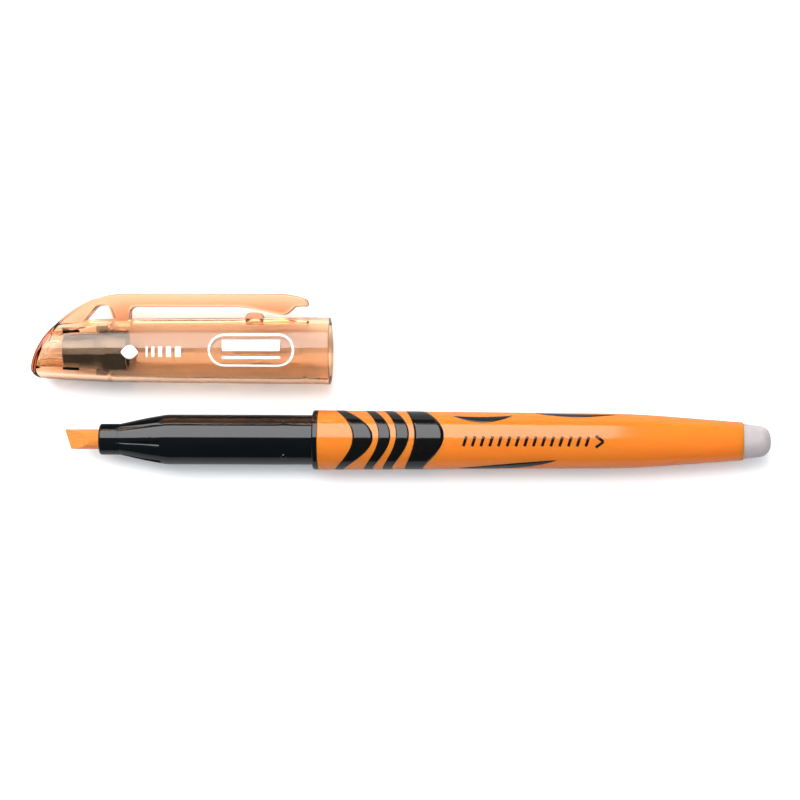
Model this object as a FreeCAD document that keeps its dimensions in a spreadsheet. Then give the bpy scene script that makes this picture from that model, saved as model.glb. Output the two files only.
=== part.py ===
import FreeCAD, Part
import math
import os

import Sketcher
from FreeCAD import Placement, Rotation, Vector

# A highlighter with its cap lying beside it. The pen points along -X and the cap's closed end does too.
# The frame's origin is under the middle of the two, on the table, with +Z up.
#
# Pen pieces are drawn from the front face of the shoulder flange: x is 0 there, the nib is on the -x
# side and the eraser on the +x side. Cap pieces are drawn from the cap's mouth, with the closed end on
# the -x side and the clip on the +y side. With the cap on the pen, the two frames are the same.
SIZES = {
    # Where the pen and the cap lie.
    "pen_place_x": -16.08,
    "pen_place_y": -10.775,
    "cap_place_x": -12.82,
    "cap_place_y": 5.725,
    # Grip section.
    "collar_front": 39.8,
    "collar_back": 36.2,
    "collar_radius": 2.9,
    "collar_round": 0.45,
    "neck_radius": 2.83,
    "taper_mid": 31.2,
    "taper_mid_radius": 3.95,
    "taper_end": 27.3,
    "taper_mid_round": 45,
    "taper_end_round": 8,
    "grip_radius": 4.62,
    "grip_draft_start": 7.5,
    "grip_draft_radius": 4.6,
    "flange_length": 1.0,
    "flange_radius": 5.5,
    "flange_round": 0.35,
    "spigot_end": 9.0,
    "spigot_radius": 4.5,
    "snap_ring_start": 5.1,
    "snap_ring_end": 6.1,
    "snap_ring_radius": 4.65,
    "chamber_radius": 3.7,
    "chamber_front": 25.8,
    "nib_bore_end": 27.5,
    "nib_bore_radius": 2.15,
    "nib_rib_count": 4,
    "nib_rib_turn": 45,
    "nib_rib_width": 0.5,
    "nib_rib_front": 39.0,
    # The six flutes of the grip section.
    "flute_count": 6,
    "flute_turn": 12,
    "flute_tip": 36.4,
    "flute_tip_height": 2.95,
    "flute_tip_radius": 0.14,
    "flute_length": 8.3,
    "flute_lean": 80.2,
    "flute_radius": 0.76,
    # The four bumps that the cap snaps over.
    "bump_count": 4,
    "bump_place": 5.2,
    "bump_turn": 60,
    "bump_radius": 0.62,
    "bump_height": 0.35,
    # Barrel.
    "barrel_end": 79.3,
    "barrel_radius": 5.5,
    "barrel_bend": 59.0,
    "barrel_bend_radius": 5.03,
    "barrel_bend_round": 150,
    "barrel_end_radius": 3.5,
    "barrel_rim_round": 0.2,
    "barrel_end_round": 0.1,
    "push_clearance": 0.05,
    "barrel_step": 10.0,
    "barrel_bore": 4.1,
    "barrel_bore_end": 56.0,
    "barrel_tail_start": 66.0,
    "barrel_tail_bore": 3.0,
    "partition_start": 69.5,
    "partition_end": 71.5,
    "eraser_seat_depth": 0.4,
    "eraser_seat_radius": 3.25,
    "barrel_rib_count": 6,
    "barrel_rib_top": 3.62,
    "barrel_rib_width": 0.6,
    # Nib.
    "nib_radius": 1.85,
    "nib_edge": 45.75,
    "nib_end": 16.0,
    "nib_cone": 2.0,
    "nib_cone_radius": 0.9,
    "chisel_turn": 18,
    "chisel_length": 3.9,
    "chisel_half_edge": 0.35,
    "chisel_round": 0.12,
    # Ink reservoir and its film.
    "reservoir_front": 25.0,
    "reservoir_end": 53.0,
    "reservoir_radius": 3.45,
    "film_radius": 3.6,
    # Eraser.
    "eraser_tip": 84.4,
    "eraser_stem_radius": 2.0,
    "eraser_shoulder": 84.3,
    "eraser_shoulder_radius": 2.65,
    "eraser_shoulder_round": 2.25,
    # Cap: outside.
    "cap_radius": 6.2,
    "cap_rim_round": 0.25,
    "cap_waist": 46.0,
    "cap_waist_radius": 5.84,
    "cap_waist_round": 260,
    "cap_overrun": 58.0,
    "cap_overrun_radius": 4.79,
    # Cap: the slanted closed end. Seen from the side it runs from the clip's top over a large arc to the
    # heel, turns there over a small arc and leaves the cap's underside at the foot.
    "slant_corner": 51.6,
    "slant_round": 18.4,
    "heel": 55.67,
    "heel_drop": 3.91,
    "heel_round": 1.6,
    "foot": 53.58,
    "foot_drop": 6.0,
    "slant_edge_round": 0.7,
    # Cap: the fin that carries the clip, and the window through it.
    "clip_width": 4.6,
    "clip_top": 10.55,
    "clip_edge_round": 0.4,
    "fin_back": 52.0,
    "fin_root": 4.5,
    "fin_front": 37.3,
    "fin_round": 1.1,
    "clip_under": 8.1,
    "window_floor": 5.0,
    "window_back": 46.27,
    "window_front": 39.87,
    "window_top": 8.35,
    "window_top_back": 43.2,
    "window_back_round": 2.0,
    "window_top_front": 41.3,
    "window_front_round": 0.9,
    # Cap: the clip's nose and the ball under it.
    "nose_start": 7.65,
    "nose_start_round": 18,
    "nose_tip": 4.13,
    "nose_tip_height": 9.55,
    "nose_tip_round": 1.1,
    "nose_under": 4.19,
    "nose_under_height": 8.2,
    "nose_under_round": 0.43,
    "ball_front": 6.5,
    "ball_front_round": 0.8,
    "ball_low": 8.4,
    "ball_low_height": 6.5,
    "ball_round": 2.0,
    "ball_back": 16.4,
    "ball_back_round": 13,
    # Cap: the low bump on the shell that faces the clip.
    "stop_place": 14.1,
    "stop_length": 3.4,
    "stop_height": 7.05,
    "stop_width": 3.0,
    "stop_round": 1.2,
    # Cap: inside.
    "cap_bore": 5.15,
    "cap_bore_chamfer": 0.3,
    "cap_bore_waist": 38.0,
    "cap_bore_waist_radius": 4.95,
    "cap_bore_overrun_radius": 3.8,
    "ridge_start": 4.3,
    "ridge_end": 4.9,
    "ridge_radius": 4.93,
    "lug_ring_start": 40.6,
    "lug_ring_end": 41.2,
    "lug_ring_radius": 4.5,
    "lug_ring_back_radius": 4.9,
    "slant_inside_top": 9.55,
    "slant_inside_corner": 50.84,
    "slant_inside_round": 17.4,
    "heel_inside": 54.55,
    "heel_inside_drop": 3.61,
    "heel_inside_round": 0.8,
    "foot_inside": 52.16,
    "cap_rib_count": 4,
    "cap_rib_turn": 45,
    "cap_rib_front": 46.3,
    "cap_rib_inner": 2.45,
    "cap_rib_width": 0.6,
    # Inner cap.
    "cup_mouth": 37.7,
    "cup_mouth_radius": 3.95,
    "cup_mouth_round": 0.2,
    "cup_flange_front": 41.1,
    "cup_flange_back": 42.2,
    "cup_flange_radius": 4.35,
    "cup_waist": 43.7,
    "cup_waist_radius": 3.45,
    "cup_end": 49.6,
    "cup_end_radius": 3.05,
    "cup_end_round": 0.3,
    "cup_seal_radius": 2.93,
    "cup_cavity_waist": 43.2,
    "cup_cavity_taper": 44.6,
    "cup_cavity_tip_radius": 2.1,
    "cup_cavity_end": 46.4,
    "cup_lug_back": 43.6,
    "cup_lug_front": 41.3,
    "cup_lug_root": 3.2,
    "cup_lug_top": 4.6,
    "cup_lug_width": 1.6,
    "cup_groove_front": 45.9,
    "cup_groove_floor": 2.4,
    "cup_groove_width": 0.75,
    "cup_groove_round": 0.3,
}

CUTTING_FEATURES = ("PartDesign::Pocket", "PartDesign::Groove", "PartDesign::SubtractiveCone")


class Size:
    """A number together with the sheet expression that it comes from."""

    def __init__(self, value, text):
        self.value = value
        self.text = text

    def __add__(self, other):
        return Size(self.value + other.value, f"({self.text} + {other.text})")

    def __sub__(self, other):
        return Size(self.value - other.value, f"({self.text} - {other.text})")

    def __neg__(self):
        return Size(-self.value, f"(-{self.text})")

    def __mul__(self, number):
        return Size(self.value * number, f"({self.text} * {number})")


ZERO = Size(0.0, "0")


def swing(reach, angle):
    """The y and z of a point at that reach from the axis, turned by the angle from +z towards +y."""
    turn = math.radians(angle.value)
    sideways = Size(reach.value * math.sin(turn), f"({reach.text} * sin({angle.text}))")
    upwards = Size(reach.value * math.cos(turn), f"({reach.text} * cos({angle.text}))")
    return sideways, upwards


def size(name):
    """The size of that name in the sheet."""
    return Size(float(SIZES[name]), "Sizes." + name)


def make_sheet(document):
    """The spreadsheet that holds the driving sizes."""
    sheet = document.addObject("Spreadsheet::Sheet", "Sizes")
    for row, (name, value) in enumerate(SIZES.items(), start=1):
        sheet.set(f"A{row}", name)
        sheet.set(f"B{row}", str(value))
        sheet.setAlias(f"B{row}", name)
    document.recompute()


def bind(thing, path, amount):
    """Tie one property of an object to the sheet."""
    thing.setExpression(path, amount.text)


def origin_part(body, role):
    """One of the body's own origin planes or axes."""
    for feature in body.Origin.OriginFeatures:
        if feature.Role == role:
            return feature
    raise ValueError(role)


def arc_round(before, corner, after, radius):
    """Start and end of the arc that rounds a corner, and whether it turns left."""
    to_before = (before - corner).normalize()
    to_after = (after - corner).normalize()
    half_angle = to_before.getAngle(to_after) / 2
    reach = radius / math.tan(half_angle)
    turns_left = to_before.cross(to_after).z < 0
    return corner + to_before * reach, corner + to_after * reach, turns_left


def arc_between(start, end, corner, radius, turns_left):
    """The arc from start to end that is tangent to the lines from the corner, drawn leftwards."""
    towards = ((start + end) * 0.5 - corner).normalize()
    half_angle = (start - corner).getAngle(towards)
    middle = corner + towards * (radius / math.sin(half_angle) - radius)
    if turns_left:
        return Part.Arc(start, middle, end)
    return Part.Arc(end, middle, start)


def fix_point(sketch, geometry, vertex, corner):
    """Hold a point of the sketch at sizes measured from the sketch's origin."""
    for kind, amount in zip(("DistanceX", "DistanceY"), corner):
        constraint = Sketcher.Constraint(kind, -1, 1, geometry, vertex, amount.value)
        index = sketch.addConstraint(constraint)
        bind(sketch, f"Constraints[{index}]", amount)


def draw(sketch, corners):
    """Draw a closed outline. A corner is (x, y), or (x, y, radius) where the corner is rounded."""
    spots = [Vector(corner[0].value, corner[1].value, 0) for corner in corners]
    starts = []
    ends = []
    arcs = {}
    for index, corner in enumerate(corners):
        if len(corner) == 2:
            starts.append(spots[index])
            ends.append(spots[index])
            continue
        before = spots[index - 1]
        after = spots[(index + 1) % len(spots)]
        start, end, turns_left = arc_round(before, spots[index], after, corner[2].value)
        arc = arc_between(start, end, spots[index], corner[2].value, turns_left)
        arcs[index] = (sketch.addGeometry(arc), turns_left)
        starts.append(start)
        ends.append(end)
    sides = []
    for index in range(len(corners)):
        following = (index + 1) % len(corners)
        sides.append(sketch.addGeometry(Part.LineSegment(ends[index], starts[following])))
    for index, corner in enumerate(corners):
        side_in = sides[index - 1]
        side_out = sides[index]
        if index not in arcs:
            sketch.addConstraint(Sketcher.Constraint("Coincident", side_in, 2, side_out, 1))
            fix_point(sketch, side_out, 1, corner[:2])
            continue
        arc, turns_left = arcs[index]
        first, last = (1, 2) if turns_left else (2, 1)
        sketch.addConstraint(Sketcher.Constraint("Tangent", side_in, 2, arc, first))
        sketch.addConstraint(Sketcher.Constraint("Tangent", side_out, 1, arc, last))
        radius = sketch.addConstraint(Sketcher.Constraint("Radius", arc, corner[2].value))
        bind(sketch, f"Constraints[{radius}]", corner[2])
        point = sketch.addGeometry(Part.Point(spots[index]), True)
        fix_point(sketch, point, 1, corner[:2])
        sketch.addConstraint(Sketcher.Constraint("PointOnObject", point, 1, side_in))
        sketch.addConstraint(Sketcher.Constraint("PointOnObject", point, 1, side_out))


def make_sketch(body, name, corners, plane="XY_Plane"):
    """A sketch with one closed outline on one of the body's origin planes."""
    sketch = body.newObject("Sketcher::SketchObject", name)
    sketch.AttachmentSupport = [(origin_part(body, plane), "")]
    sketch.MapMode = "FlatFace"
    draw(sketch, corners)
    return sketch


def spin(body, name, kind, corners):
    """Revolve an outline about the body's X axis, as a Revolution or a Groove."""
    sketch = make_sketch(body, name + "_sketch", corners)
    feature = body.newObject("PartDesign::" + kind, name)
    feature.Profile = sketch
    feature.ReferenceAxis = (sketch, ["H_Axis"])
    feature.Angle = 360
    return feature


def slab(body, name, kind, corners, width):
    """Pad or pocket an outline of the XY plane evenly to both sides."""
    sketch = make_sketch(body, name + "_sketch", corners)
    feature = body.newObject("PartDesign::" + kind, name)
    feature.Profile = sketch
    feature.SideType = "Symmetric"
    bind(feature, "Length", width)
    return feature


def groove_up(body, name, corners, floor):
    """Pocket an outline of a plane above the XY plane, away from the axis."""
    sketch = make_sketch(body, name + "_sketch", corners)
    bind(sketch, "AttachmentOffset.Base.z", floor)
    feature = body.newObject("PartDesign::Pocket", name)
    feature.Profile = sketch
    feature.Type = "ThroughAll"
    feature.Reversed = True
    return feature


def turn_sketch(feature, angle):
    """Turn the plane of a feature's sketch about the X axis."""
    sketch = feature.Profile[0]
    sketch.AttachmentOffset = Placement(Vector(), Rotation(Vector(1, 0, 0), angle.value))
    bind(sketch, "AttachmentOffset.Rotation.Angle", angle)


def repeat_around(body, name, feature, count):
    """Repeat a feature evenly about the body's X axis."""
    pattern = body.newObject("PartDesign::PolarPattern", name)
    pattern.Originals = [feature]
    pattern.Axis = (origin_part(body, "X_Axis"), [""])
    pattern.Angle = 360
    bind(pattern, "Occurrences", count)
    body.Tip = pattern
    return pattern


def box_corners(left, right, low, high):
    """The corners of an upright rectangle."""
    return [(left, low), (right, low), (right, high), (left, high)]


def make_body(document, name):
    """An empty body whose label names its file."""
    body = document.addObject("PartDesign::Body", name)
    body.Label = name
    return body


def place(thing, x, y, z, turn=ZERO):
    """Lay a sub-part down at its place, turned about its own X axis."""
    thing.Placement = Placement(Vector(), Rotation(Vector(1, 0, 0), turn.value))
    bind(thing, "Placement.Base.x", x)
    bind(thing, "Placement.Base.y", y)
    bind(thing, "Placement.Base.z", z)


def place_with_pen(thing, turn=ZERO):
    place(thing, size("pen_place_x"), size("pen_place_y"), size("flange_radius"), turn)


def place_with_cap(thing, turn=ZERO):
    place(thing, size("cap_place_x"), size("cap_place_y"), size("cap_radius"), turn)


def make_grip_section(document):
    """The black front moulding, from the collar round the nib to the spigot in the barrel."""
    body = make_body(document, "grip_section")
    front = -size("collar_front")
    collar_back = -size("collar_back")
    flange_back = size("flange_length")
    spin(body, "grip_turned", "Revolution", [
        (front, size("nib_bore_radius")),
        (front, size("collar_radius"), size("collar_round")),
        (collar_back, size("collar_radius")),
        (collar_back, size("neck_radius")),
        (-size("taper_mid"), size("taper_mid_radius"), size("taper_mid_round")),
        (-size("taper_end"), size("grip_radius"), size("taper_end_round")),
        (-size("grip_draft_start"), size("grip_radius")),
        (ZERO, size("grip_draft_radius")),
        (ZERO, size("flange_radius"), size("flange_round")),
        (flange_back, size("flange_radius")),
        (flange_back, size("spigot_radius")),
        (size("snap_ring_start"), size("spigot_radius")),
        (size("snap_ring_start"), size("snap_ring_radius")),
        (size("snap_ring_end"), size("snap_ring_radius")),
        (size("snap_ring_end"), size("spigot_radius")),
        (size("spigot_end"), size("spigot_radius")),
        (size("spigot_end"), size("chamber_radius")),
        (-size("chamber_front"), size("chamber_radius")),
        (-size("nib_bore_end"), size("nib_bore_radius")),
    ])
    make_flutes(body)
    make_nib_ribs(body)
    make_snap_bumps(body)
    place_with_pen(body, size("flute_turn"))
    return body


def make_flutes(body):
    """Six round-bottomed flutes in the taper, each cut by a cone that leans over from +z and widens."""
    lean = size("flute_lean")
    flute = body.newObject("PartDesign::SubtractiveCone", "flute")
    flute.Placement = Placement(Vector(), Rotation(Vector(0, 1, 0), lean.value))
    bind(flute, "Placement.Rotation.Angle", lean)
    bind(flute, "Placement.Base.x", -size("flute_tip"))
    bind(flute, "Placement.Base.z", size("flute_tip_height"))
    bind(flute, "Radius1", size("flute_tip_radius"))
    bind(flute, "Radius2", size("flute_radius"))
    bind(flute, "Height", size("flute_length"))
    repeat_around(body, "flutes", flute, size("flute_count"))


def make_nib_ribs(body):
    """Four ribs along the nib's bore, which centre the nib and leave air channels beside it."""
    rib_root = size("nib_bore_radius") + size("nib_rib_width") * 0.5
    corners = box_corners(-size("nib_rib_front"), -size("nib_bore_end"), size("nib_radius"), rib_root)
    rib = slab(body, "nib_rib", "Pad", corners, size("nib_rib_width"))
    turn_sketch(rib, size("nib_rib_turn"))
    repeat_around(body, "nib_ribs", rib, size("nib_rib_count"))


def make_snap_bumps(body):
    """Four low round bumps near the flange, which the ridge in the cap's mouth snaps over."""
    reach = size("grip_radius") + size("bump_height") - size("bump_radius")
    sideways, upwards = swing(reach, size("bump_turn"))
    bump = body.newObject("PartDesign::AdditiveSphere", "snap_bump")
    bind(bump, "Radius", size("bump_radius"))
    bind(bump, "Placement.Base.x", -size("bump_place"))
    bind(bump, "Placement.Base.y", sideways)
    bind(bump, "Placement.Base.z", upwards)
    repeat_around(body, "snap_bumps", bump, size("bump_count"))


def make_barrel(document):
    """The long outer tube, with the snap groove, the partition and the eraser's socket."""
    body = make_body(document, "barrel")
    start = size("flange_length")
    end = size("barrel_end")
    mouth_bore = size("spigot_radius") + size("push_clearance")
    groove_bore = size("snap_ring_radius") + size("push_clearance")
    groove_start = size("snap_ring_start") - size("push_clearance")
    groove_end = size("snap_ring_end") + size("push_clearance")
    seat = end - size("eraser_seat_depth")
    spin(body, "barrel_turned", "Revolution", [
        (start, mouth_bore),
        (start, size("barrel_radius"), size("barrel_rim_round")),
        (size("barrel_bend"), size("barrel_bend_radius"), size("barrel_bend_round")),
        (end, size("barrel_end_radius"), size("barrel_end_round")),
        (end, size("eraser_seat_radius")),
        (seat, size("eraser_seat_radius")),
        (seat, size("eraser_stem_radius")),
        (size("partition_end"), size("eraser_stem_radius")),
        (size("partition_end"), ZERO),
        (size("partition_start"), ZERO),
        (size("partition_start"), size("barrel_tail_bore")),
        (size("barrel_tail_start"), size("barrel_tail_bore")),
        (size("barrel_bore_end"), size("barrel_bore")),
        (size("barrel_step"), size("barrel_bore")),
        (size("barrel_step"), mouth_bore),
        (groove_end, mouth_bore),
        (groove_end, groove_bore),
        (groove_start, groove_bore),
        (groove_start, mouth_bore),
    ])
    rib_root = size("barrel_bore") + size("barrel_rib_width") * 0.5
    corners = box_corners(size("barrel_step"), size("barrel_bore_end"), size("barrel_rib_top"), rib_root)
    rib = slab(body, "barrel_rib", "Pad", corners, size("barrel_rib_width"))
    repeat_around(body, "barrel_ribs", rib, size("barrel_rib_count"))
    place_with_pen(body)
    return body


def make_nib(document):
    """The felt rod: a slanted chisel in front and a short cone behind."""
    body = make_body(document, "nib")
    reach = size("nib_edge") + size("nib_radius")
    cone = -size("nib_end") - size("nib_cone")
    spin(body, "nib_rod", "Revolution", [
        (-reach, ZERO),
        (-reach, size("nib_radius")),
        (cone, size("nib_radius")),
        (-size("nib_end"), size("nib_cone_radius")),
        (-size("nib_end"), ZERO),
    ])
    make_chisel(body)
    place_with_pen(body)
    return body


def make_chisel(body):
    """Cut the rod's front to two flat faces that meet in a slanted, slightly blunt edge."""
    half = size("chisel_half_edge")
    high = size("nib_radius") * 2 - half
    back = size("chisel_length") * 2
    ahead = -size("nib_radius")
    ahead_far = ahead * 2
    sketch = make_sketch(body, "chisel_sketch", [
        (ahead_far, high),
        (back, high),
        (ZERO, half, size("chisel_round")),
        (ZERO, -half, size("chisel_round")),
        (back, -high),
        (ahead_far, -high),
    ], "XZ_Plane")
    turn = size("chisel_turn")
    sketch.AttachmentOffset = Placement(Vector(), Rotation(Vector(0, 1, 0), turn.value))
    bind(sketch, "AttachmentOffset.Rotation.Angle", turn)
    bind(sketch, "AttachmentOffset.Base.x", -size("nib_edge"))
    pocket = body.newObject("PartDesign::Pocket", "chisel")
    pocket.Profile = sketch
    pocket.SideType = "Symmetric"
    bind(pocket, "Length", size("nib_radius") * 4)


def make_ink_reservoir(document):
    """The fibre cylinder, with a hole in front that takes the back of the nib."""
    body = make_body(document, "ink_reservoir")
    clearance = size("push_clearance")
    hole = size("nib_radius") + clearance
    hole_end = -size("nib_end") + clearance
    cone = -size("nib_end") - size("nib_cone")
    spin(body, "fibre_turned", "Revolution", [
        (-size("reservoir_front"), hole),
        (-size("reservoir_front"), size("reservoir_radius")),
        (size("reservoir_end"), size("reservoir_radius")),
        (size("reservoir_end"), ZERO),
        (hole_end, ZERO),
        (hole_end, size("nib_cone_radius") + clearance),
        (cone, hole),
    ])
    place_with_pen(body)
    return body


def make_reservoir_film(document):
    """The thin film sleeve round the fibre."""
    body = make_body(document, "reservoir_film")
    front = -size("reservoir_front")
    end = size("reservoir_end")
    spin(body, "film_turned", "Revolution",
         box_corners(front, end, size("reservoir_radius"), size("film_radius")))
    place_with_pen(body)
    return body


def make_eraser(document):
    """The rubber plug with a rounded tip, pressed into the socket of the barrel."""
    body = make_body(document, "eraser")
    seat = size("barrel_end") - size("eraser_seat_depth")
    spin(body, "eraser_turned", "Revolution", [
        (size("partition_end"), ZERO),
        (size("partition_end"), size("eraser_stem_radius")),
        (seat, size("eraser_stem_radius")),
        (seat, size("eraser_seat_radius")),
        (size("barrel_end"), size("eraser_seat_radius")),
        (size("eraser_shoulder"), size("eraser_shoulder_radius"), size("eraser_shoulder_round")),
        (size("eraser_tip"), ZERO),
    ])
    place_with_pen(body)
    return body


def cut_slant(body, top, corner, heel, foot):
    """Cut a body of the cap to the slanted closed end. The corner and the heel are rounded corners."""
    front = -size("fin_front")
    back = -size("cap_overrun") - size("cap_radius")
    above = size("clip_top") * 2
    low = -size("foot_drop")
    return slab(body, "slant_" + body.Label, "Pocket", [
        (front, above),
        (back, above),
        (back, low),
        (-foot, low),
        heel,
        corner,
        (front, top),
    ], size("cap_radius") * 4)


def cut_outer_slant(body):
    """The slant of the cap's outside, which the hull and the fin share."""
    corner = (-size("slant_corner"), size("clip_top"), size("slant_round"))
    heel = (-size("heel"), -size("heel_drop"), size("heel_round"))
    return cut_slant(body, size("clip_top"), corner, heel, size("foot"))


def cut_inner_slant(body):
    """The slant of the hollow, one wall inside the outer one."""
    corner = (-size("slant_inside_corner"), size("slant_inside_top"), size("slant_inside_round"))
    heel = (-size("heel_inside"), -size("heel_inside_drop"), size("heel_inside_round"))
    return cut_slant(body, size("slant_inside_top"), corner, heel, size("foot_inside"))


def make_cap_hull(document):
    """The cap's outer form without the clip, still solid inside."""
    body = make_body(document, "cap_hull")
    overrun = -size("cap_overrun")
    spin(body, "hull_turned", "Revolution", [
        (ZERO, ZERO),
        (ZERO, size("cap_radius"), size("cap_rim_round")),
        (-size("cap_waist"), size("cap_waist_radius"), size("cap_waist_round")),
        (overrun, size("cap_overrun_radius")),
        (overrun, ZERO),
    ])
    cut = cut_outer_slant(body)
    document.recompute()
    round_slant_edge(body, cut)
    make_clip_stop(body)
    return body


def round_slant_edge(body, cut):
    """Round the edge between the slanted end and the sides, all the way round."""
    front = -size("cap_waist").value
    names = []
    for number, edge in enumerate(cut.Shape.Edges, start=1):
        box = edge.BoundBox
        runs_round = min(box.XLength, box.YLength, box.ZLength) > 0.001
        if box.XMax < front and runs_round:
            names.append(f"Edge{number}")
    fillet = body.newObject("PartDesign::Fillet", "slant_round_edge")
    fillet.Base = (cut, names)
    bind(fillet, "Radius", size("slant_edge_round"))


def make_clip_stop(body):
    """The low bump on the side of the cap that keeps the clip from being pressed flat."""
    half = size("stop_length") * 0.5
    back = -size("stop_place") - half
    front = -size("stop_place") + half
    slab(body, "clip_stop", "Pad", [
        (back, size("cap_bore")),
        (front, size("cap_bore")),
        (front, size("stop_height"), size("stop_round")),
        (back, size("stop_height"), size("stop_round")),
    ], size("stop_width"))


def make_cap_fin(document):
    """The fin, the window through it and the clip, as one flat moulding with soft edges."""
    body = make_body(document, "cap_fin")
    slab(body, "fin_outline", "Pad", [
        (-size("fin_back"), size("clip_top")),
        (-size("fin_back"), size("fin_root")),
        (-size("fin_front"), size("fin_root")),
        (-size("fin_front"), size("clip_under"), size("fin_round")),
        (-size("ball_back"), size("clip_under"), size("ball_back_round")),
        (-size("ball_low"), size("ball_low_height"), size("ball_round")),
        (-size("ball_front"), size("nose_under_height"), size("ball_front_round")),
        (-size("nose_under"), size("nose_under_height"), size("nose_under_round")),
        (-size("nose_tip"), size("nose_tip_height"), size("nose_tip_round")),
        (-size("nose_start"), size("clip_top"), size("nose_start_round")),
    ], size("clip_width"))
    cut_outer_slant(body)
    window = slab(body, "window", "Pocket", [
        (-size("window_back"), size("window_floor")),
        (-size("window_front"), size("window_floor")),
        (-size("window_top_front"), size("window_top"), size("window_front_round")),
        (-size("window_top_back"), size("window_top"), size("window_back_round")),
    ], size("clip_width") * 2)
    document.recompute()
    round_fin_edges(body, window)
    return body


def round_fin_edges(body, base):
    """Round the long edges of the fin and clip, apart from those that end up inside the cap."""
    half_width = size("clip_width").value / 2
    root = size("fin_root").value
    names = []
    for number, edge in enumerate(base.Shape.Edges, start=1):
        box = edge.BoundBox
        on_side = math.isclose(abs(box.Center.z), half_width, abs_tol=0.001)
        is_root = math.isclose(box.YMax, root, abs_tol=0.001)
        if on_side and not is_root:
            names.append(f"Edge{number}")
    fillet = body.newObject("PartDesign::Fillet", "fin_edges")
    fillet.Base = (base, names)
    bind(fillet, "Radius", size("clip_edge_round"))


def make_cap_core(document):
    """The hollow of the cap, with the gaps in it where the ribs stand."""
    body = make_body(document, "cap_core")
    outside = size("cap_bore_chamfer")
    bore = size("cap_bore")
    waist = size("cap_bore_waist_radius")
    overrun = -size("cap_overrun")
    spin(body, "core_turned", "Revolution", [
        (outside, ZERO),
        (outside, bore + outside),
        (ZERO, bore + outside),
        (-outside, bore),
        (-size("ridge_start"), bore),
        (-size("ridge_start"), size("ridge_radius")),
        (-size("ridge_end"), size("ridge_radius")),
        (-size("ridge_end"), bore),
        (-size("cap_bore_waist"), waist),
        (-size("lug_ring_start"), waist),
        (-size("lug_ring_start"), size("lug_ring_radius")),
        (-size("lug_ring_end"), size("lug_ring_radius")),
        (-size("lug_ring_end"), size("lug_ring_back_radius")),
        (overrun, size("cap_bore_overrun_radius")),
        (overrun, ZERO),
    ])
    cut_inner_slant(body)
    gap_corners = box_corners(-size("cap_overrun"), -size("cap_rib_front"), size("cap_rib_inner"),
                              size("cap_radius"))
    gap = slab(body, "rib_gap", "Pocket", gap_corners, size("cap_rib_width"))
    turn_sketch(gap, size("cap_rib_turn"))
    repeat_around(body, "rib_gaps", gap, size("cap_rib_count"))
    return body


def make_cap_shell(document):
    """The cap: its hull joined with the fin and clip, and hollowed."""
    outside = document.addObject("Part::Fuse", "cap_outside")
    outside.Base = make_cap_hull(document)
    outside.Tool = make_cap_fin(document)
    shell = document.addObject("Part::Cut", "cap_shell")
    shell.Label = "cap_shell"
    shell.Base = outside
    shell.Tool = make_cap_core(document)
    place_with_cap(shell)
    return shell


def make_inner_cap(document):
    """The cup that seals on the collar, with a flange, four lugs and grooves for the cap's ribs."""
    body = make_body(document, "inner_cap")
    mouth = -size("cup_mouth")
    end = -size("cup_end")
    spin(body, "cup_turned", "Revolution", [
        (mouth, size("cup_seal_radius")),
        (mouth, size("cup_mouth_radius"), size("cup_mouth_round")),
        (-size("cup_flange_front"), size("cup_mouth_radius")),
        (-size("cup_flange_front"), size("cup_flange_radius")),
        (-size("cup_flange_back"), size("cup_flange_radius")),
        (-size("cup_waist"), size("cup_waist_radius")),
        (end, size("cup_end_radius"), size("cup_end_round")),
        (end, ZERO),
        (-size("cup_cavity_end"), ZERO),
        (-size("cup_cavity_end"), size("cup_cavity_tip_radius")),
        (-size("cup_cavity_taper"), size("cup_cavity_tip_radius")),
        (-size("cup_cavity_waist"), size("cup_seal_radius")),
    ])
    groove = groove_up(body, "cup_groove", [
        (-size("cap_overrun"), -size("cup_groove_width") * 0.5),
        (-size("cup_groove_front"), -size("cup_groove_width") * 0.5, size("cup_groove_round")),
        (-size("cup_groove_front"), size("cup_groove_width") * 0.5, size("cup_groove_round")),
        (-size("cap_overrun"), size("cup_groove_width") * 0.5),
    ], size("cup_groove_floor"))
    repeat_around(body, "cup_grooves", groove, size("cap_rib_count"))
    lug_corners = box_corners(-size("cup_lug_back"), -size("cup_lug_front"), size("cup_lug_root"),
                              size("cup_lug_top"))
    lug = slab(body, "cup_lug", "Pad", lug_corners, size("cup_lug_width"))
    turn_sketch(lug, size("cap_rib_turn"))
    repeat_around(body, "cup_lugs", lug, size("cap_rib_count"))
    place_with_cap(body, size("cap_rib_turn"))
    return body


def check_document(document):
    """Stop if an object failed, or if a cut took nothing away."""
    for thing in document.Objects:
        if "Invalid" in thing.State or "Error" in thing.State:
            raise RuntimeError(thing.Name + " failed")
        if thing.TypeId in CUTTING_FEATURES:
            if thing.Shape.Volume >= thing.BaseFeature.Shape.Volume:
                raise RuntimeError(thing.Name + " cuts nothing")


def write_part(thing):
    """Check one sub-part and write its file."""
    shape = thing.Shape
    if shape.isNull() or not shape.isValid() or len(shape.Solids) != 1:
        raise RuntimeError(thing.Label + " isn't one valid solid")
    shape.exportStep(os.path.join("parts", thing.Label + ".step"))
    print(thing.Label, round(shape.Volume, 2), "mm3")


def main():
    document = FreeCAD.newDocument("highlighter")
    make_sheet(document)
    makers = [make_grip_section, make_barrel, make_nib, make_ink_reservoir, make_reservoir_film,
              make_eraser, make_cap_shell, make_inner_cap]
    parts = [maker(document) for maker in makers]
    document.recompute()
    check_document(document)
    os.makedirs("parts", exist_ok=True)
    for part in parts:
        write_part(part)


main()
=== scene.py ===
"""Looks of a highlighter that lies beside its cap: materials, printed patterns, studio light and camera."""

import math

import bpy
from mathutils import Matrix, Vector
from mathutils.bvhtree import BVHTree


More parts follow.
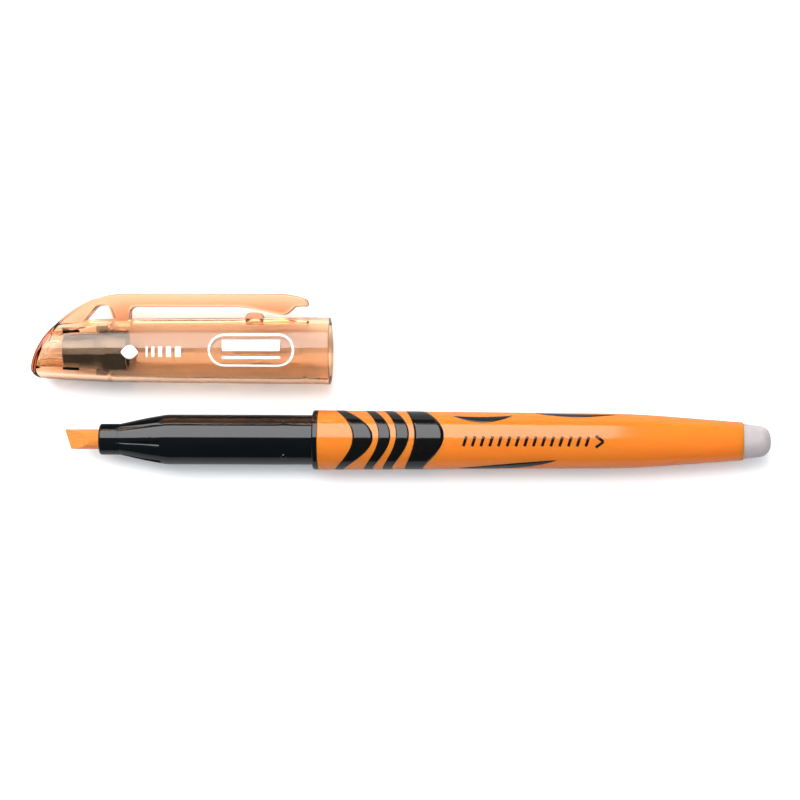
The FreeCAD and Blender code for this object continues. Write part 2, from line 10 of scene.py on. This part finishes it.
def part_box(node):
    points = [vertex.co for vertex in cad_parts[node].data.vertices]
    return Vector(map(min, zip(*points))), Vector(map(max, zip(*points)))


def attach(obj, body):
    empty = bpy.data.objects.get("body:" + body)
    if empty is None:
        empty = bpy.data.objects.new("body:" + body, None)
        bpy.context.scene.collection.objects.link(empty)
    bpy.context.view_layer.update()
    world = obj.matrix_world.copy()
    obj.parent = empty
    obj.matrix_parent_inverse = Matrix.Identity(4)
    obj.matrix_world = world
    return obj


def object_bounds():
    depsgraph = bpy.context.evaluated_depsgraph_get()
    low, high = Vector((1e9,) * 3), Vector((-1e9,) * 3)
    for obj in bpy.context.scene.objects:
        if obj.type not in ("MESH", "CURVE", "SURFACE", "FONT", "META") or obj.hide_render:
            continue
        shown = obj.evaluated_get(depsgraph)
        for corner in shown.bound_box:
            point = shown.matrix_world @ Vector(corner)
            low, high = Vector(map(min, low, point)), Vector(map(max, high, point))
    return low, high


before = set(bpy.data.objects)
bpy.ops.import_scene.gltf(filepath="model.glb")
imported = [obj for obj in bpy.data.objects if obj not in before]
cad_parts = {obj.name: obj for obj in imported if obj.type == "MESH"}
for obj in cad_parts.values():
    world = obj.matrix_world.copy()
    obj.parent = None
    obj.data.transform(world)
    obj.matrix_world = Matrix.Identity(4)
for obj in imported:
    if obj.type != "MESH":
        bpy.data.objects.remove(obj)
cad_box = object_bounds()

MM = 0.001

# Camera: nearly straight above, with the picture's top towards +Y.
CAMERA_DISTANCE = 555 * MM
CAMERA_TILT = 3.0
CAMERA_ROLL = 0.15
CAMERA_LENS = 134.9
CAMERA_TARGET = Vector((0.0, -3.27 * MM, 5.5 * MM))

# Printed inks stand this far out of the plastic. They are a little thicker, so they also reach into it.
INK_RISE = 0.03 * MM
INK_DEPTH = 0.045 * MM

# How much rougher a surface is where handling or uneven printing has dulled it.
HANDLING_WEAR = 0.07
PRINT_WEAR = 0.08

# A place outside every skin, seen from its axis.
BEYOND_SKIN = 20 * MM

# The step in t over which a curve's direction is taken, and the least half width of a stroke.
DIRECTION_STEP = 0.01
LEAST_HALF_WIDTH = 0.01 * MM


# ---------------------------------------------------------------- materials

def new_material(name, **values):
    """A material with one Principled shader. A value's name is its socket's, with _ for a space."""
    material = bpy.data.materials.new(name)
    material.use_nodes = True
    tree = material.node_tree
    tree.nodes.clear()
    output = tree.nodes.new("ShaderNodeOutputMaterial")
    shader = tree.nodes.new("ShaderNodeBsdfPrincipled")
    tree.links.new(shader.outputs["BSDF"], output.inputs["Surface"])
    for socket, value in values.items():
        shader.inputs[socket.replace("_", " ")].default_value = value
    return material


def node_of(material, kind):
    """The material's node of that kind, which it has one of."""
    return next(node for node in material.node_tree.nodes if node.bl_idname == kind)


def shader_of(material):
    """The material's Principled shader."""
    return node_of(material, "ShaderNodeBsdfPrincipled")


def noise(material, cell, stretch=1.0, detail=3.0):
    """Noise with cells of that size in metres, stretched along the pen. Returns its value from 0 to 1."""
    tree = material.node_tree
    place = tree.nodes.new("ShaderNodeTexCoord")
    mapping = tree.nodes.new("ShaderNodeMapping")
    mapping.inputs["Scale"].default_value = (1 / (cell * stretch), 1 / cell, 1 / cell)
    texture = tree.nodes.new("ShaderNodeTexNoise")
    texture.inputs["Scale"].default_value = 1.0
    texture.inputs["Detail"].default_value = detail
    tree.links.new(place.outputs["Object"], mapping.inputs["Vector"])
    tree.links.new(mapping.outputs["Vector"], texture.inputs["Vector"])
    return texture.outputs["Fac"]


def colour_between(material, value, low, high):
    """Base colour that goes from low to high as the value does from 0.3 to 0.7."""
    tree = material.node_tree
    ramp = tree.nodes.new("ShaderNodeValToRGB")
    ramp.color_ramp.elements[0].position = 0.3
    ramp.color_ramp.elements[0].color = low
    ramp.color_ramp.elements[1].position = 0.7
    ramp.color_ramp.elements[1].color = high
    tree.links.new(value, ramp.inputs["Fac"])
    tree.links.new(ramp.outputs["Color"], shader_of(material).inputs["Base Color"])


def roughness_between(material, value, low, high):
    """Roughness that goes from low to high with the value."""
    tree = material.node_tree
    spread = tree.nodes.new("ShaderNodeMapRange")
    spread.inputs["To Min"].default_value = low
    spread.inputs["To Max"].default_value = high
    tree.links.new(value, spread.inputs["Value"])
    tree.links.new(spread.outputs["Result"], shader_of(material).inputs["Roughness"])


def bump(material, value, height, strength=1.0):
    """Surface relief of that height in metres."""
    tree = material.node_tree
    relief = tree.nodes.new("ShaderNodeBump")
    relief.inputs["Strength"].default_value = strength
    relief.inputs["Distance"].default_value = height
    tree.links.new(value, relief.inputs["Height"])
    tree.links.new(relief.outputs["Normal"], shader_of(material).inputs["Normal"])


def glossy_plastic(name, dark, light, polish):
    """Polished moulded plastic, with slight flow variation in its colour, fine waviness and a little
    handling wear."""
    material = new_material(name, IOR=1.5)
    flow = noise(material, cell=6 * MM, stretch=5)
    colour_between(material, flow, dark, light)
    rubbed = noise(material, cell=1.5 * MM, stretch=2)
    roughness_between(material, rubbed, polish, polish + HANDLING_WEAR)
    waviness = noise(material, cell=2.5 * MM, stretch=3, detail=1)
    bump(material, waviness, height=0.004 * MM)
    return material


def grip_plastic():
    """Glossy black."""
    dark = (0.0015, 0.002, 0.0025, 1)
    light = (0.003, 0.004, 0.0045, 1)
    return glossy_plastic("grip_plastic", dark, light, polish=0.05)


def inner_cap_plastic():
    """Very dark olive, less polished than the grip."""
    dark = (0.010, 0.010, 0.004, 1)
    light = (0.018, 0.017, 0.008, 1)
    return glossy_plastic("inner_cap_plastic", dark, light, polish=0.12)


def barrel_plastic():
    """Opaque orange plastic that lets a little light into its skin."""
    dark = (0.62, 0.150, 0.014, 1)
    light = (0.65, 0.172, 0.018, 1)
    material = glossy_plastic("barrel_plastic", dark, light, polish=0.09)
    shader = shader_of(material)
    shader.inputs["Subsurface Weight"].default_value = 0.7
    shader.inputs["Subsurface Radius"].default_value = (1.0, 0.35, 0.1)
    shader.inputs["Subsurface Scale"].default_value = 4.0 * MM
    return material


def felt(name, dark, light, fibre):
    """Pressed fibres that run along the pen, with their thickness given in metres."""
    material = new_material(name, Roughness=0.85, Sheen_Weight=0.15, Sheen_Roughness=0.6)
    strands = noise(material, fibre, stretch=14, detail=6)
    colour_between(material, strands, dark, light)
    bump(material, strands, height=0.06 * MM, strength=0.7)
    return material


def nib_felt():
    """Fine felt soaked in orange ink."""
    return felt("nib_felt", (0.51, 0.122, 0.010, 1), (0.69, 0.222, 0.026, 1), fibre=0.22 * MM)


def reservoir_fibre():
    """Coarser and paler fibre, inside the barrel."""
    return felt("reservoir_fibre", (0.80, 0.22, 0.03, 1), (0.95, 0.36, 0.07, 1), fibre=0.3 * MM)


def eraser_rubber():
    """Soft, milky translucent rubber with rubbed patches."""
    material = new_material(
        "eraser_rubber", IOR=1.45, Subsurface_Weight=0.6, Subsurface_Radius=(1.0, 0.85, 0.8),
        Subsurface_Scale=1.5 * MM, Transmission_Weight=0.12)
    cloudiness = noise(material, cell=2 * MM)
    colour_between(material, cloudiness, (0.39, 0.345, 0.345, 1), (0.46, 0.41, 0.41, 1))
    rubbed = noise(material, cell=0.9 * MM)
    roughness_between(material, rubbed, low=0.32, high=0.5)
    grain = noise(material, cell=0.25 * MM)
    bump(material, grain, height=0.012 * MM)
    return material


def clear_film():
    """Thin clear sleeve round the fibre."""
    return new_material("clear_film", Base_Color=(0.95, 0.95, 0.95, 1), Roughness=0.1, IOR=1.48,
                        Transmission_Weight=0.9)


def absorb(material, colour, density):
    """The material's inside takes up light, more of it the longer the way through, in 1/m."""
    tree = material.node_tree
    volume = tree.nodes.new("ShaderNodeVolumeAbsorption")
    volume.inputs["Color"].default_value = colour
    volume.inputs["Density"].default_value = density
    tree.links.new(volume.outputs["Volume"], node_of(material, "ShaderNodeOutputMaterial").inputs["Volume"])


def cap_plastic():
    """Clear plastic tinted orange, deeper where the light passes through more of it."""
    tint = (1.0, 0.875, 0.715, 1)
    material = new_material("cap_plastic", Base_Color=tint, IOR=1.49, Transmission_Weight=1.0)
    rubbed = noise(material, cell=2 * MM, stretch=2)
    roughness_between(material, rubbed, low=0.015, high=0.06)
    waviness = noise(material, cell=4 * MM, stretch=3, detail=1)
    bump(material, waviness, height=0.006 * MM)
    absorb(material, colour=(0.985, 0.42, 0.05, 1), density=200.0)
    return material


def ink(name, dark, light, polish):
    """Printed ink, with the faint unevenness of pad printing."""
    material = new_material(name, IOR=1.5)
    unevenness = noise(material, cell=0.6 * MM)
    colour_between(material, unevenness, dark, light)
    dullness = noise(material, cell=1.2 * MM)
    roughness_between(material, dullness, polish, polish + PRINT_WEAR)
    return material


def black_ink():
    """Glossy black, for the barrel."""
    return ink("barrel_ink", (0.002, 0.002, 0.002, 1), (0.004, 0.004, 0.004, 1), polish=0.08)


def white_ink():
    """Satin white, for the cap."""
    return ink("cap_ink", (0.80, 0.80, 0.78, 1), (0.90, 0.90, 0.88, 1), polish=0.25)


def dress(node, material):
    """Gives every material slot of a CAD node that material."""
    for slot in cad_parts[node].material_slots:
        slot.material = material


def dress_frame():
    """Gives each CAD node its material."""
    dress("grip_section", grip_plastic())
    dress("barrel", barrel_plastic())
    dress("nib", nib_felt())
    dress("ink_reservoir", reservoir_fibre())
    dress("reservoir_film", clear_film())
    dress("eraser", eraser_rubber())
    dress("cap_shell", cap_plastic())
    dress("inner_cap", inner_cap_plastic())


# ---------------------------------------------------------------- printed patterns

class Skin:
    """The outside of a round CAD node. Places on it are (along, turn): how far along +X from its start,
    in metres, and degrees round its axis from the top towards +Y."""

    def __init__(self, node, axis_node, body, start):
        self.tree = BVHTree.FromObject(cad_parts[node], bpy.context.evaluated_depsgraph_get())
        low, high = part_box(axis_node)
        self.axis = (low + high) / 2
        self.start = start
        self.body = body

    def point(self, along, turn):
        """The place in the row frame, INK_RISE above the plastic."""
        angle = math.radians(turn)
        outwards = Vector((0, math.sin(angle), math.cos(angle)))
        centre = Vector((self.start + along, self.axis.y, self.axis.z))
        hit, normal, _, _ = self.tree.ray_cast(centre + BEYOND_SKIN * outwards, -outwards)
        return hit + INK_RISE * normal

    def radius(self, along):
        """How far the ink is from the axis there."""
        centre = Vector((self.start + along, self.axis.y, self.axis.z))
        return (self.point(along, 0) - centre).length


def grid_faces(rows, columns, closed, first):
    """Faces between neighbouring rows of points, numbered from first."""
    faces = []
    for row in range(rows if closed else rows - 1):
        here = first + row * columns
        there = first + (row + 1) % rows * columns
        for column in range(columns - 1):
            faces.append((here + column, here + column + 1, there + column + 1, there + column))
    return faces


def print_piece(name, skin, grids, material):
    """One piece of ink on the skin. A grid is (rows of places, whether its last row joins its first)."""
    points = []
    faces = []
    for rows, closed in grids:
        faces += grid_faces(len(rows), len(rows[0]), closed, len(points))
        points += [skin.point(along, turn) for row in rows for along, turn in row]
    mesh = bpy.data.meshes.new(name)
    mesh.from_pydata(points, [], faces)
    mesh.validate()
    for polygon in mesh.polygons:
        polygon.use_smooth = True
    piece = bpy.data.objects.new(name, mesh)
    bpy.context.scene.collection.objects.link(piece)
    mesh.materials.append(material)
    face_outwards(piece, skin)
    depth = piece.modifiers.new("ink_depth", "SOLIDIFY")
    depth.thickness = INK_DEPTH
    depth.offset = -1
    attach(piece, skin.body)


def face_outwards(piece, skin):
    """Turns the mesh's faces to look away from the skin's axis."""
    mesh = piece.data
    for polygon in mesh.polygons:
        outwards = polygon.center - skin.axis
        outwards.x = 0
        if polygon.normal.dot(outwards) < 0:
            polygon.flip()
    mesh.update()


def shares(columns):
    """Evenly spaced numbers from -1 to 1, one for each column."""
    return [2 * column / (columns - 1) - 1 for column in range(columns)]


def across(centre, half, columns):
    """Places along +X on both sides of a centre, as one row."""
    along, turn = centre
    return [(along + half * share, turn) for share in shares(columns)]


def wave_ring(place, swing, lead, breadth, pinch):
    """A band round the whole barrel that sways twice per turn. It is broadest near the top and the
    underside and, by pinch, narrower at the sides."""
    steps = 120
    columns = 9
    sways = 2
    rows = []
    for step in range(steps):
        turn = 360 * step / steps
        sway = math.cos(math.radians(sways * (turn - lead)))
        half = breadth / 2 * (1 - pinch * (1 - sway) / 2)
        rows.append(across((place + swing * sway, turn), half, columns))
    return rows, True


def bezier(points, t):
    """A point of the Bezier curve with those control points."""
    while len(points) > 1:
        points = [[a + (b - a) * t for a, b in zip(p, q)] for p, q in zip(points, points[1:])]
    return points[0]


def stroke(skin, points, breadth, taper):
    """A stroke along a Bezier curve of places. Its width at t from 0 to 1 is breadth times taper(t)."""
    scale = skin.radius(points[0][0]) * math.radians(1)
    steps = 40
    columns = 5
    rows = []
    for step in range(steps + 1):
        t = step / steps
        before = bezier(points, max(t - DIRECTION_STEP, 0))
        after = bezier(points, min(t + DIRECTION_STEP, 1))
        run = Vector((after[0] - before[0], (after[1] - before[1]) * scale)).normalized()
        half = max(breadth / 2 * taper(t), LEAST_HALF_WIDTH)
        along, turn = bezier(points, t)
        rows.append([(along - run.y * half * share, turn + run.x * half * share / scale)
                     for share in shares(columns)])
    return rows, False


def leaf(t):
    """Pointed at both ends, and fuller than a sine."""
    fullness = 0.8
    return math.sin(math.pi * t) ** fullness


def even(t):
    """The same width all along."""
    return 1.0


def straight(skin, start, end, breadth):
    """A straight stroke of even width between two places."""
    return stroke(skin, [start, end], breadth, even)


def barrel_prints():
    """Black waves round the barrel near the grip, with long thin leaves behind them."""
    low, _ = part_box("barrel")
    skin = Skin("barrel", "barrel", "pen", low.x)
    black = black_ink()
    print_piece("barrel_waves", skin, wave_rings(), black)
    print_piece("barrel_leaves", skin, leaf_strokes(skin), black)
    print_piece("barrel_arrow", skin, arrow(skin), black)


def wave_rings():
    """Four bands near the grip, the first and the last broader than the two between."""
    return [
        wave_ring(place=6.2 * MM, swing=2.3 * MM, lead=6, breadth=3.7 * MM, pinch=0.6),
        wave_ring(place=10.9 * MM, swing=1.6 * MM, lead=10, breadth=2.2 * MM, pinch=0.3),
        wave_ring(place=14.3 * MM, swing=1.5 * MM, lead=12, breadth=2.4 * MM, pinch=0.3),
        wave_ring(place=19.2 * MM, swing=1.5 * MM, lead=10, breadth=5.4 * MM, pinch=0.4),
    ]


def leaf_strokes(skin):
    """Three leaves on each half of the barrel. A route's points are millimetres along and degrees round."""
    routes = (
        ([(25, 58), (31, 36), (36, 62)], 1.5 * MM),
        ([(40, 76), (47, 58), (55, 72)], 1.3 * MM),
        ([(26, -74), (35, -72), (44, -44)], 1.9 * MM),
    )
    strokes = []
    for half_turn in (0, 180):
        for route, breadth in routes:
            points = [(along * MM, turn + half_turn) for along, turn in route]
            strokes.append(stroke(skin, points, breadth, leaf))
    return strokes


def arrow(skin):
    """A row of slanted bars with an arrowhead that points to the eraser. Heights are degrees round."""
    pitch = 1.6 * MM
    first = 27.0 * MM
    count = 15
    slant = 0.55 * MM
    turn = -1
    half_height = 10
    breadth = 0.5 * MM
    head_gap = 1.6 * MM
    head_length = 1.4 * MM
    head_half_height = 12
    shapes = []
    for number in range(count):
        place = first + number * pitch
        start = (place, turn - half_height)
        end = (place + slant, turn + half_height)
        shapes.append(straight(skin, start, end, breadth))
    tip = first + count * pitch + head_gap
    for side in (-1, 1):
        start = (tip - head_length, turn + head_half_height * side)
        shapes.append(straight(skin, start, (tip, turn), breadth))
    return shapes


def cap_prints():
    """White generic marks on the cap: a lozenge with bars, and samples of a broad and a thin line."""
    low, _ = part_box("cap_shell")
    skin = Skin("cap_shell", "inner_cap", "cap", low.x)
    print_piece("cap_marks", skin, bars(skin) + line_samples(skin), white_ink())


def bars(skin):
    """A lozenge followed by upright bars that grow broader."""
    lozenge_start, lozenge_end, lozenge_turn = 17.2 * MM, 20.4 * MM, -4
    lozenge_breadth = 2.6 * MM
    place = 22.0 * MM
    foot_turn, head_turn = -12, 6
    gap = 0.8 * MM
    ends = [(lozenge_start, lozenge_turn), (lozenge_end, lozenge_turn)]
    shapes = [stroke(skin, ends, lozenge_breadth, leaf)]
    for breadth in (0.35 * MM, 0.55 * MM, 0.75 * MM, 0.95 * MM, 1.15 * MM):
        shapes.append(straight(skin, (place, foot_turn), (place, head_turn), breadth))
        place += breadth + gap
    return shapes


def line_samples(skin):
    """A rounded frame round a broad line and a thin one."""
    left, right, half_turn = 33.5 * MM, 49.0 * MM, 28
    inset = 2.4 * MM
    broad_turn, broad = 8, 2.1 * MM
    thin_turn, thin = -13, 0.5 * MM
    frame_breadth = 0.4 * MM
    return [
        straight(skin, (left + inset, broad_turn), (right - inset, broad_turn), broad),
        straight(skin, (left + inset, thin_turn), (right - inset, thin_turn), thin),
        rounded_frame(skin, left, right, half_turn, frame_breadth),
    ]


def rounded_frame(skin, left, right, half_turn, breadth):
    """A closed outline with round ends."""
    scale = skin.radius(left) * math.radians(1)
    reach = half_turn * scale
    steps = 96
    columns = 5
    rows = []
    for step in range(steps):
        angle = 2 * math.pi * step / steps
        outwards = Vector((math.cos(angle), math.sin(angle)))
        middle = right - reach if outwards.x > 0 else left + reach
        distances = [reach + share * breadth / 2 for share in shares(columns)]
        rows.append([(middle + outwards.x * distance, outwards.y * distance / scale)
                     for distance in distances])
    return rows, True


# ---------------------------------------------------------------- studio

def area_light(name, place, look_at, width, height, radiance, in_gloss=True):
    """A rectangular soft light of that radiance, aimed at a point."""
    light = bpy.data.lights.new(name, "AREA")
    light.shape = "RECTANGLE"
    light.size = width
    light.size_y = height
    light.energy = radiance * math.pi * width * height
    lamp = bpy.data.objects.new(name, light)
    lamp.location = place
    lamp.rotation_euler = (Vector(look_at) - Vector(place)).to_track_quat("-Z", "Y").to_euler()
    lamp.visible_glossy = in_gloss
    bpy.context.scene.collection.objects.link(lamp)


def light_studio():
    """A large soft box on the +Y side gives the highlight along the pen. A broad light above fills in."""
    low, high = cad_box
    centre = (low + high) / 2
    lean = math.radians(38.5)
    reach = 520 * MM
    box_x = -190 * MM
    place = (box_x, centre.y + reach * math.sin(lean), reach * math.cos(lean))
    target = (box_x, centre.y, 0)
    area_light("soft_box", place, target, width=0.54, height=0.565, radiance=5.0)
    above = (-0.15, 0.35, 1.15)
    area_light("overhead", above, (0, 0, 0), width=1.3, height=1.3, radiance=2.8, in_gloss=False)
    light_sky()


def light_sky():
    """A faint bluish sky. It is fainter still in mirror reflections, so that black plastic stays black,
    but not where light passes through clear plastic."""
    sky_strength = 0.5
    mirrored_strength = 0.06
    world = bpy.data.worlds.new("studio")
    world.use_nodes = True
    bpy.context.scene.world = world
    tree = world.node_tree
    sky = next(node for node in tree.nodes if node.bl_idname == "ShaderNodeBackground")
    sky.inputs["Color"].default_value = (0.86, 0.93, 1.0, 1)
    path = tree.nodes.new("ShaderNodeLightPath")
    strength = tree.nodes.new("ShaderNodeMapRange")
    strength.inputs["To Min"].default_value = sky_strength
    strength.inputs["To Max"].default_value = mirrored_strength
    mirrored = tree.nodes.new("ShaderNodeMath")
    mirrored.operation = "SUBTRACT"
    tree.links.new(path.outputs["Is Glossy Ray"], mirrored.inputs[0])
    tree.links.new(path.outputs["Is Transmission Ray"], mirrored.inputs[1])
    tree.links.new(mirrored.outputs["Value"], strength.inputs["Value"])
    tree.links.new(strength.outputs["Result"], sky.inputs["Strength"])


def floor_paper():
    """White paper, lit past white. Reflections and clear plastic see a greyer sheet, so that they don't
    wash out."""
    material = new_material("floor_paper", Base_Color=(0.97, 0.97, 0.97, 1), Roughness=0.8)
    tree = material.node_tree
    path = tree.nodes.new("ShaderNodeLightPath")
    shade = shader_of(material).outputs["BSDF"]
    for ray, grey in (("Is Glossy Ray", 0.30), ("Is Transmission Ray", 0.75)):
        paper = tree.nodes.new("ShaderNodeBsdfDiffuse")
        paper.inputs["Color"].default_value = (grey, grey, grey, 1)
        mix = tree.nodes.new("ShaderNodeMixShader")
        tree.links.new(path.outputs[ray], mix.inputs["Fac"])
        tree.links.new(shade, mix.inputs[1])
        tree.links.new(paper.outputs["BSDF"], mix.inputs[2])
        shade = mix.outputs["Shader"]
    tree.links.new(shade, node_of(material, "ShaderNodeOutputMaterial").inputs["Surface"])
    return material


def floor():
    """A plain white sheet that everything lies on."""
    low, _ = cad_box
    half = 3.0
    mesh = bpy.data.meshes.new("floor")
    corners = [(-half, -half, low.z), (half, -half, low.z), (half, half, low.z), (-half, half, low.z)]
    mesh.from_pydata(corners, [], [(0, 1, 2, 3)])
    sheet = bpy.data.objects.new("floor", mesh)
    bpy.context.scene.collection.objects.link(sheet)
    mesh.materials.append(floor_paper())


def camera():
    """Looks nearly straight down, tilted a little so that it sees the mouth of the cap. Colours are shown
    as they are, with no film look."""
    lens = bpy.data.cameras.new("camera")
    lens.lens = CAMERA_LENS
    lens.clip_start = 0.05
    lens.clip_end = 10
    eye = bpy.data.objects.new("camera", lens)
    tilt = math.radians(CAMERA_TILT)
    eye.location = CAMERA_TARGET + CAMERA_DISTANCE * Vector((math.sin(tilt), 0, math.cos(tilt)))
    eye.rotation_euler = (0, tilt, math.radians(CAMERA_ROLL))
    bpy.context.scene.collection.objects.link(eye)
    bpy.context.scene.camera = eye
    bpy.context.scene.view_settings.view_transform = "Standard"


dress_frame()
barrel_prints()
cap_prints()
light_studio()
floor()
camera()
